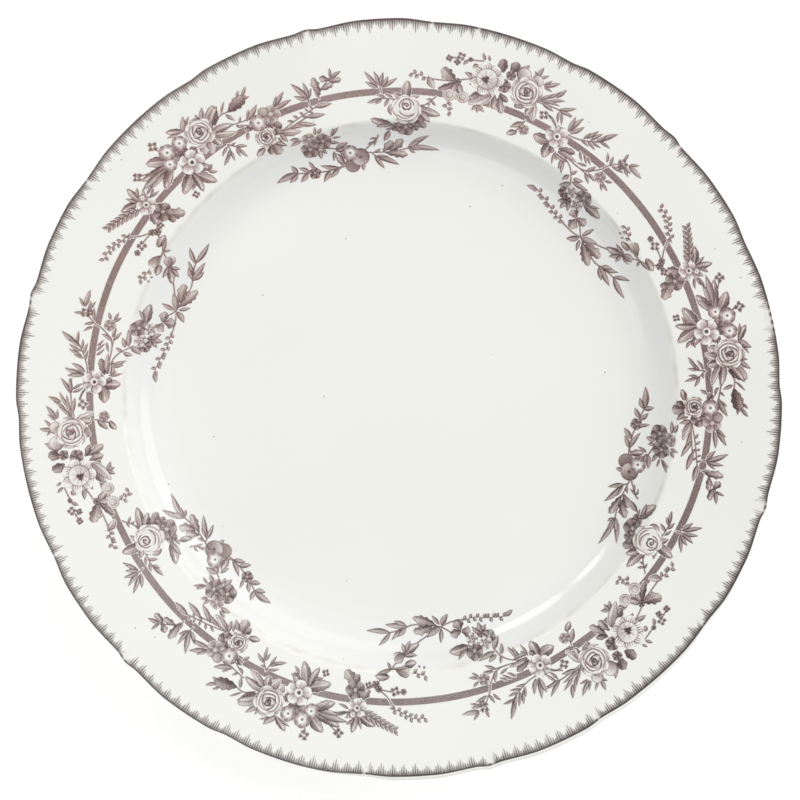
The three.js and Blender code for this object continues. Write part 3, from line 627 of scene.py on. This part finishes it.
berrySpray = {
    "shifts": [(0, 0, 1), (0.1, 1.4, 0.88), (1.8, -0.3, 1)],
    "stems": [
        [(108.4, 88.8), (104.8, 86.8), (103.9, 84), (104.6, 80.6), (107.6, 80.2), (109.6, 80.6), (111.2, 81.2),
        (113, 82), (115.4, 83.4)], [(98.2, 83.5), (96.4, 83.3), (92, 83.1), (88.4, 84.4)], [(96.8, 83),
        (96, 81.8), (94.6, 80.4)], [(103.8, 80.4), (105.4, 80)]],
    "beads": [],
    "leaves": [
        (107.3, 94, 106.1, 95.6, 1.2), (107.9, 93.8, 107.4, 96.6, 1.1), (105, 91.6, 102.7, 94.4, 1.4),
        (104.7, 92.2, 103.8, 94.6, 1), (104.9, 91, 102.9, 90.7, 0.8), (105.8, 89.6, 103.6, 88.7, 1.3),
        (110.8, 93.4, 113.5, 92.9, 1.4), (111.2, 94.4, 113.1, 95.3, 1.4), (108.2, 88.2, 108.7, 85, 1.8),
        (107.6, 88.2, 107.1, 86, 1.2), (105, 86.7, 101.8, 88.1, 1.8), (105, 86.2, 102.3, 86.4, 1.4),
        (103.9, 80.8, 105, 85.3, 2.3, "broad"), (105.3, 86.2, 106.1, 82.9, 1.1), (99.3, 80, 99.5, 77.6, 1.4),
        (105.2, 80.3, 109.5, 82.9, 1.5), (105.3, 79.9, 108.1, 77.7, 1.6), (107.5, 80.2, 110, 77.1, 1.8),
        (110.9, 82.4, 111.6, 85.6, 1.2), (112.4, 82, 114.3, 84.8, 1.5), (112.8, 82, 115.3, 80.1, 1.7),
        (115.1, 83, 115.6, 86.6, 1.7), (115.2, 83.5, 120.5, 83.6, 2.2), (115.1, 83.1, 117.8, 81.6, 1.7),
        (92.8, 83.5, 89.6, 87.5, 2.8, "lobe"), (94.3, 83.3, 91.9, 86.8, 2.5, "lobe"),
        (93.8, 82.8, 88.5, 82, 2.5, "lobe"), (96.4, 83.2, 94.7, 84.5, 1), (95.8, 81.6, 90.5, 78.5, 1.8),
        (96, 82.1, 93.1, 81.6, 1), (96.4, 82.2, 94.2, 77.4, 1.5), (88.6, 84.4, 83.8, 89.4, 1.8),
        (88.4, 84.6, 85.9, 87.3, 2), (88.2, 84.8, 81.1, 84.7, 1.8), (88.4, 84.2, 84.9, 84.2, 1),
        (88.2, 84.1, 86.7, 82.8, 1)],
    "flowers": [
        ("darkFlower", 106.9, 90.8, 3), ("darkFlower", 110.2, 89.3, 3.1), ("greyFive", 109.4, 92.9, 2.4),
        ("tiny", 108.8, 91.2, 1), ("darkBerry", 101.9, 80.2, 2.6), ("berry", 99.7, 82.4, 3),
        ("blossom", 101.9, 84.4, 2.8), ("darkFlower", 111.3, 81.1, 2.1)],
}
sprays = {"rose_bouquet": roseBouquet, "trailing_spray": trailingSpray, "double_spray": doubleSpray,
          "daffodil_bouquet": daffodilBouquet, "small_sprig": smallSprig, "peony_spray": peonySpray,
          "fan_sprig": fanSprig, "bud_sprig": budSprig, "corner_spray": cornerSpray, "berry_spray": berrySpray}


def sprayExtent(spray):
    spots = [(a, r, 1.6) for line in spray["stems"] + spray["beads"] for a, r in line]
    spots += [(a, r, width) for leaf in spray["leaves"] for a, r, width in (leaf[:2] + leaf[4:5], leaf[2:5])]
    spots += [(a, r, size * 1.15) for kind, a, r, size in spray["flowers"]]
    angles = [a + side * math.degrees((reach + 0.5) / r) for a, r, reach in spots for side in (-1, 1)]
    radii = [r + side * (reach + 0.5) for a, r, reach in spots for side in (-1, 1)]
    return (min(angles), max(angles)), (min(radii), max(radii))


def drawSpray(name, spray, repeat):
    turnBy, outBy, stretch = spray["shifts"][repeat]
    angles, radii = sprayExtent(spray)
    middle = sum(angles) / 2

    def laid(a, r):
        return middle + (a - middle) * stretch + turnBy + 120 * repeat, r + outBy

    sheet = blankSheet([laid(a, 0)[0] for a in angles], [r + outBy for r in radii])
    for drawLine, lines in ((drawStem, spray["stems"]), (drawBeads, spray["beads"])):
        for line in lines:
            drawLine(sheet, [laid(a, r) for a, r in line])
    for number, (a, r, tipA, tipR, width, *kind) in enumerate(spray["leaves"]):
        bow = printDrawing["leafBow"] * math.sin(2.4 * number)      # a different bend for each leaf
        drawLeaf(sheet, laid(a, r), laid(tipA, tipR), width, kind[0] if kind else "slim", bow)
    for kind, a, r, size in spray["flowers"]:
        drawFlower(sheet, kind, laid(a, r), size)
    return sheetPiece(name, sheet)


bandLine = {
    "radius": 104.8,
    "width": 2.3,
    # the band was laid by hand: angle, mm out of true
    "wobble": [(3, 0.42), (30, 0), (45, 0.24), (69, 0.2), (94, -0.14), (139, 0.75), (158, 1.0), (184, 0.6),
               (206, 0.4), (225, 0.7), (258, -0.07), (275, -0.85), (289, -1.25), (305, -1.3), (317, -1),
               (327, -0.4), (340, 0.34), (350, 0.7)],
    "tone": 0.64,
    "check": 0.62,            # mm across, the pitch of the band's faint check, 2 pi times longer round the plate
    "margin": 0.15,           # mm of bare points on either side
    "rings": 15,
    "steps": 3140,            # points round the plate
}


def drawBand():
    look = bandLine
    wobble, half, around = look["wobble"], look["width"] / 2, look["steps"]
    loop = [(wobble[-1][0] - 360, wobble[-1][1])] + wobble + [(wobble[0][0] + 360, wobble[0][1])]
    turn = np.arange(around) * 2 * math.pi / around
    across = np.linspace(-1, 1, look["rings"])[:, None] * (half + look["margin"]) * np.ones(around)
    radius = look["radius"] + np.interp(np.degrees(turn), *zip(*loop)) + across
    turns = np.broadcast_to(turn, radius.shape)
    inside = half - np.abs(across)
    check = 0.06 * np.cos(turns * 105 / look["check"]) * np.cos(radius / look["check"] * 2 * math.pi)
    tone = look["tone"] + check + 0.1 * np.exp(-(inside / 0.25) ** 2)      # a little darker along both sides
    points = upperPoint(radius.ravel(), turns.ravel(), dinnerPlate["printLift"] * 0.5)
    faces = ringQuads(look["rings"], around).tolist()
    return meshPiece("bandPrint", points, faces, (tone * soften(inside, 0.25)).ravel())


featherEdge = {
    "outer": 129.75,
    "teethPerSixth": 34,
    "strokesPerTooth": 5,
    "bodyDepth": 1.7,          # mm, the strokes between two teeth
    "toothDepth": 4.4,         # mm to the tip of each long tooth
    "toothSpread": (0.8, 1.08),      # the shortest and longest tooth, as shares of that
    "strokeSpread": 0.3,       # mm that a stroke runs long or short
    "inkSpread": (0.82, 1.0),        # the faintest and heaviest stroke
    # worn or missed places: angle, half width in degrees
    "gaps": [(13, 3.2), (42.5, 0.5), (78, 0.6), (85, 0.5), (104, 0.6), (145, 0.6), (165, 1.8), (204.6, 0.5),
             (223.5, 1.4), (265, 0.7), (284.3, 1.0), (302, 0.8), (324, 0.6), (344, 1.6)],
    # where the print stops short of the lip: angle, mm inwards
    "shortfall": [(0, 0.2), (70, 0.3), (115, 0.3), (130, 0), (255, 0), (270, 1.1), (310, 1.2), (328, 0.5),
                  (345, 0.2), (360, 0.2)],
    "margin": 0.1,             # mm of bare points outside the strokes
    "depth": 4.9,              # mm that the rings of points run inwards
    "rings": 23,
    "steps": 5712,             # points round the plate, 28 to each tooth
}


def drawFeatherEdge():
    look = featherEdge
    around, teeth = look["steps"], 6 * look["teethPerSixth"]
    strokes = teeth * look["strokesPerTooth"]
    turn = np.arange(around) * 2 * math.pi / around
    degrees = np.degrees(turn)
    depth = np.linspace(0, 1, look["rings"])[:, None] ** 1.15 * look["depth"] - look["margin"]
    radius = look["outer"] - np.interp(degrees, *zip(*look["shortfall"])) - depth
    turns = np.broadcast_to(turn, radius.shape)
    place = degrees / 360 * teeth
    inTooth = place - np.floor(place)
    tooth = np.floor(place).astype(int) % teeth
    stroke = np.floor(place * look["strokesPerTooth"]).astype(int) % strokes
    rng = np.random.default_rng(5)
    long = rng.uniform(*look["toothSpread"], teeth)[tooth]
    uneven = rng.uniform(-look["strokeSpread"], look["strokeSpread"], strokes)[stroke]
    heavy = rng.uniform(*look["inkSpread"], strokes)[stroke]
    valley = np.abs(inTooth - 0.5) * 2          # 0 on a tooth's middle stroke, 1 between two teeth
    reach = look["bodyDepth"] + (look["toothDepth"] * long - look["bodyDepth"]) * (1 - valley) ** 1.15 + uneven
    ridge = 0.5 - 0.5 * np.cos(2 * math.pi * inTooth * look["strokesPerTooth"])
    fade = np.clip(1 - depth / reach, 0, 1)
    ground = 0.78 * np.exp(-(depth / 1.8) ** 2)
    strokeTone = (ground + (1.1 - ground) * ridge ** 1.3) * heavy * fade ** 0.35
    line = np.exp(-(depth / 0.8) ** 4)          # the solid line along the lip
    wear, lineWear = np.ones(around), np.ones(around)
    for angle, width in look["gaps"]:
        away = np.abs((degrees - angle + 180) % 360 - 180)
        bare = np.clip(1.35 - away / width * 1.3, 0, 1)
        wear = wear * (1 - 0.9 * bare)
        lineWear = lineWear * (1 - bare * (0.35 + 0.35 * np.cos(2 * math.pi * place * 1.5)))
    tone = np.maximum(line * lineWear, strokeTone.clip(0, 1) * wear) * soften(depth + 0.02, 0.1)
    quads = ringQuads(look["rings"], around)[:, [1, 0, 3, 2]]      # these rings run inwards, so the corners swap
    return inkedPiece("featherEdgePrint", quads, tone.ravel(), radius.ravel(), turns.ravel(), tone.ravel())


def addNode(tree, kind, settings=None, links=None):
    node = tree.nodes.new(kind)
    for key, value in (settings or {}).items():
        if isinstance(key, int) or key in node.inputs:
            node.inputs[key].default_value = value
        else:
            setattr(node, key, value)
    for key, source in (links or {}).items():
        tree.links.new(source, node.inputs[key])
    return node


def mixColours(tree, share, first, second):
    mix = addNode(tree, "ShaderNodeMix", {"data_type": "RGBA"}, {0: share})
    for socket, colour in ((mix.inputs[6], first), (mix.inputs[7], second)):
        if isinstance(colour, str):
            socket.default_value = toLinear(colour)
        else:
            tree.links.new(colour, socket)
    return mix.outputs[2]


def multiply(tree, first, *others):
    for other in others:
        first = addNode(tree, "ShaderNodeMath", {"operation": "MULTIPLY"}, {0: first, 1: other}).outputs[0]
    return first


def fillRamp(ramp, places):
    stops = ramp.color_ramp.elements
    while len(stops) < len(places):
        stops.new(0.5)
    for stop, (position, colour) in zip(stops, places):
        stop.position = position
        stop.color = colour


glazedEarthenware = {
    "white": "#f6f6f2",
    "warmWhite": "#f4f4ed",
    "cloudWidth": 45.0,           # mm, slow patches of the two whites
    "poolTint": "#f3f4f1",        # painted shade: the cove below the shoulder is a darker, cooler white
    "crestTint": "#d9d6cb",       # it runs thin along the shoulder's crest
    "crestPatch": 9.0,            # mm, patches that break up the crest's tint
    "crestLow": 14.0,             # mm above the foot, so that only the upper side has the crest's tint
    "speck": "#a39a8c",
    "speckSpacing": 9.0,          # mm between kiln specks
    "speckRadius": 0.3,           # mm
    "roughness": 0.11,
    "ior": 1.5,
    "peelWidth": 7.0,             # mm, the slow ripple of a dipped glaze
    "peelDepth": 0.012,           # mm
    # radius in mm, share of the painted cove shade and of the crest tint
    "pool": [(0, 0, 0), (76, 0, 0), (86, 1, 0), (93, 1, 0), (93.7, 0.3, 1), (94.4, 0, 1), (95.2, 0, 0)],
}


def glazeColour(tree):
    look = glazedEarthenware
    edge = dinnerPlate["edgeRadius"]
    place = addNode(tree, "ShaderNodeTexCoord").outputs["Object"]
    cloud = addNode(tree, "ShaderNodeTexNoise", {"Scale": 1 / (look["cloudWidth"] * mm), "Detail": 2.0},
                    {"Vector": place})
    colour = mixColours(tree, cloud.outputs["Fac"], look["white"], look["warmWhite"])
    flat = addNode(tree, "ShaderNodeVectorMath", {"operation": "MULTIPLY", 1: (1, 1, 0)}, {0: place})
    reach = addNode(tree, "ShaderNodeVectorMath", {"operation": "LENGTH"}, {0: flat.outputs[0]})
    share = addNode(tree, "ShaderNodeMath", {"operation": "DIVIDE", 1: edge * mm}, {0: reach.outputs["Value"]})
    rings = addNode(tree, "ShaderNodeValToRGB", None, {"Fac": share.outputs[0]})
    fillRamp(rings, [(radius / edge, (pool, crest, 0, 1)) for radius, pool, crest in look["pool"]])
    tints = addNode(tree, "ShaderNodeSeparateColor", None, {"Color": rings.outputs["Color"]})
    # painted shade: the cove below the shoulder turns a darker, cooler white
    colour = mixColours(tree, tints.outputs["Red"], colour, look["poolTint"])
    patchy = addNode(tree, "ShaderNodeTexNoise", {"Scale": 1 / (look["crestPatch"] * mm), "Detail": 3.0},
                     {"Vector": place})
    worn = addNode(tree, "ShaderNodeMapRange", {"From Min": 0.42, "From Max": 0.72, "To Max": 0.75},
                   {"Value": patchy.outputs["Fac"]})
    height = addNode(tree, "ShaderNodeSeparateXYZ", None, {"Vector": place}).outputs["Z"]
    above = addNode(tree, "ShaderNodeMath", {"operation": "GREATER_THAN", 1: look["crestLow"] * mm}, {0: height})
    crestShare = multiply(tree, tints.outputs["Green"], worn.outputs[0], above.outputs[0])
    colour = mixColours(tree, crestShare, colour, look["crestTint"])
    cells = addNode(tree, "ShaderNodeTexVoronoi", {"Scale": 1 / (look["speckSpacing"] * mm)}, {"Vector": place})
    size = look["speckRadius"] / look["speckSpacing"]
    specks = addNode(tree, "ShaderNodeMapRange", {"From Min": size * 1.2, "From Max": size * 0.7, "To Max": 0.8},
                     {"Value": cells.outputs["Distance"]})
    return mixColours(tree, specks.outputs[0], colour, look["speck"])


def newMaterial(name):
    material = bpy.data.materials.new(name)
    material.use_nodes = True
    return material, material.node_tree


def glazeShader(tree, colour):
    look = glazedEarthenware
    shader = tree.nodes["Principled BSDF"]
    place = addNode(tree, "ShaderNodeTexCoord").outputs["Object"]
    peel = addNode(tree, "ShaderNodeTexNoise", {"Scale": 1 / (look["peelWidth"] * mm), "Detail": 1.0},
                   {"Vector": place})
    bump = addNode(tree, "ShaderNodeBump", {"Strength": 1.0, "Distance": look["peelDepth"] * mm},
                   {"Height": peel.outputs["Fac"]})
    tree.links.new(colour, shader.inputs["Base Color"])
    tree.links.new(bump.outputs["Normal"], shader.inputs["Normal"])
    shader.inputs["Roughness"].default_value = look["roughness"]
    shader.inputs["IOR"].default_value = look["ior"]


def makeGlaze():
    # Dipped tin-white glaze over earthenware: a bright soft white with a hard wet gloss.
    material, tree = newMaterial("dippedWhiteGlaze")
    glazeShader(tree, glazeColour(tree))
    return material


transferInk = {
    "tones": [(0.0, "#ffffff"), (0.25, "#dccdca"), (0.5, "#af9795"), (0.75, "#856b6a"), (1.0, "#523d3d")],
    # width of the marks in mm, and how much ink they leave between their thinnest and thickest
    "stipple": (0.5, 0.98, 1.34),        # the engraver's dots, drawn a little coarse
    "patches": (14.0, 0.92, 1.06),       # uneven inking of the transfer paper
    # from and to along the axis in mm, and the ink's strength at each
    "depthAlongX": (-60, 120, 0.83, 1.0),      # thinner at -X
    "rednessAlongY": (-120, 30, 0.5, 0.9),     # fired greyer at -Y and redder at +Y
}


def makeInk(name, redness=1.0):
    # Brown-mauve transfer print fired under the same glaze: stippled matt colour seen through a hard gloss.
    material, tree = newMaterial(name)
    place = addNode(tree, "ShaderNodeTexCoord").outputs["Object"]
    axes = addNode(tree, "ShaderNodeSeparateXYZ", None, {"Vector": place})
    tone = addNode(tree, "ShaderNodeAttribute", {"attribute_name": "tone"}).outputs["Fac"]
    ink = []
    for size, least, most in (transferInk["stipple"], transferInk["patches"]):
        marks = addNode(tree, "ShaderNodeTexNoise", {"Scale": 1 / (size * mm), "Detail": 1.0}, {"Vector": place})
        spread = {"From Min": 0.3, "From Max": 0.7, "To Min": least, "To Max": most}
        ink.append(addNode(tree, "ShaderNodeMapRange", spread, {"Value": marks.outputs["Fac"]}).outputs[0])
    for axis, (start, end, atStart, atEnd), share in (("X", transferInk["depthAlongX"], 1.0),
                                                      ("Y", transferInk["rednessAlongY"], redness)):
        slope = {"From Min": start * mm, "From Max": end * mm, "To Min": atStart * share, "To Max": atEnd * share}
        ink.append(addNode(tree, "ShaderNodeMapRange", slope, {"Value": axes.outputs[axis]}).outputs[0])
    stipple, patches, depth, saturation = ink
    inked = multiply(tree, stipple, patches, depth, tone)
    ramp = addNode(tree, "ShaderNodeValToRGB", None, {"Fac": inked})
    fillRamp(ramp, [(position, toLinear(colour)) for position, colour in transferInk["tones"]])
    tinted = addNode(tree, "ShaderNodeHueSaturation", None,
                     {"Saturation": saturation, "Color": ramp.outputs["Color"]})
    over = addNode(tree, "ShaderNodeMix", {"data_type": "RGBA", "blend_type": "MULTIPLY", 0: 1.0},
                   {6: glazeColour(tree), 7: tinted.outputs["Color"]})
    glazeShader(tree, over.outputs[2])
    return material


def finishPiece(piece, material, slot, *nodes):
    piece.data.materials.append(material)
    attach(piece, "root")
    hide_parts(*nodes)


glaze = makeGlaze()
bandInk = makeInk("bandTransferInk")
edgeInk = makeInk("edgeTransferInk", 0.45)
sprayInk = makeInk("sprayTransferInk")

finishPiece(makePlate(), glaze, "body_glaze", "plate_body")
print("plate body made")
finishPiece(drawBand(), bandInk, "band_ink", "band_print")
finishPiece(drawFeatherEdge(), edgeInk, "edge_ink", "feather_edge_print")
print("band and feathered edge drawn")
for nodeName, spray in sprays.items():
    for repeat in range(3):
        node = f"{nodeName}_{repeat + 1}"
        pieceName = "".join(word.capitalize() for word in node.split("_"))
        finishPiece(drawSpray(pieceName[0].lower() + pieceName[1:], spray, repeat), sprayInk, "spray_ink", node)
print("sprays drawn:", 3 * len(sprays))

studio = {
    "floorSize": 6.0,
    "floorColour": "#fbfbfa",
    "floorRoughness": 0.9,
    "floorGlow": 0.24,
    "worldStrength": 0.55,
    "aimedAt": (0.62, 0.33),      # mm from the plate's axis, where the camera and the lamps point
    # name, direction to the light (azimuth and elevation in degrees), distance, size, watts
    "lamps": [("lowLeftFill", 240, 53, 1.6, 1.2, 3.5), ("upperRight", 55, 38, 1.7, 2.1, 10.6),
              ("rightWindow", 15, 24, 1.5, 1.2, 6.0), ("lowUpperLeft", 147, 34, 1.5, 0.25, 0.8),
              ("upperLeftWindow", 127, 34, 1.6, 0.5, 2.4)],
}
cameraView = {"azimuth": 64, "elevation": 82.5, "distance": 2.5, "lens": 332.3, "sensor": 36, "farthest": 20}

side = studio["floorSize"] / 2
corners = np.array([[-side, -side, 0], [side, -side, 0], [side, side, 0], [-side, side, 0]])
floor = meshPiece("floorSheet", corners, [[0, 1, 2, 3]])
# Matt pale paper that glows a little, so that it stays near white under soft lamps.
paper, paperTree = newMaterial("palePaper")
for socket, value in (("Base Color", toLinear(studio["floorColour"])), ("Roughness", studio["floorRoughness"]),
                      ("Emission Color", (1, 1, 1, 1)), ("Emission Strength", studio["floorGlow"])):
    paperTree.nodes["Principled BSDF"].inputs[socket].default_value = value
floor.data.materials.append(paper)

world = bpy.data.worlds.new("softStudio")
world.use_nodes = True
world.node_tree.nodes["Background"].inputs["Color"].default_value = (1, 1, 1, 1)
world.node_tree.nodes["Background"].inputs["Strength"].default_value = studio["worldStrength"]
bpy.context.scene.world = world
bpy.context.scene.view_settings.view_transform = "Standard"

plateTop = Vector([*(place * mm for place in studio["aimedAt"]), plateHigh.z])


def aimed(name, data, azimuth, elevation, distance, upAxis):
    thing = bpy.data.objects.new(name, data)
    bpy.context.scene.collection.objects.link(thing)
    a, e = math.radians(azimuth), math.radians(elevation)
    back = Vector((math.cos(e) * math.cos(a), math.cos(e) * math.sin(a), math.sin(e)))
    right = upAxis.cross(back).normalized()
    turned = Matrix((right, back.cross(right), back)).transposed().to_4x4()
    thing.matrix_world = Matrix.Translation(plateTop + back * distance) @ turned
    return thing


for name, azimuth, elevation, distance, size, watts in studio["lamps"]:
    lamp = bpy.data.lights.new(name, "AREA")
    lamp.shape = "DISK"
    lamp.size = size
    lamp.energy = watts
    aimed(name, lamp, azimuth, elevation, distance, Vector((0, 0, 1)))

lens = bpy.data.cameras.new("overheadCamera")
lens.lens = cameraView["lens"]
lens.sensor_width = cameraView["sensor"]
lens.clip_end = cameraView["farthest"]
bpy.context.scene.camera = aimed("overheadCamera", lens, cameraView["azimuth"], cameraView["elevation"],
                                 cameraView["distance"], Vector((0, 1, 0)))
print("studio set")
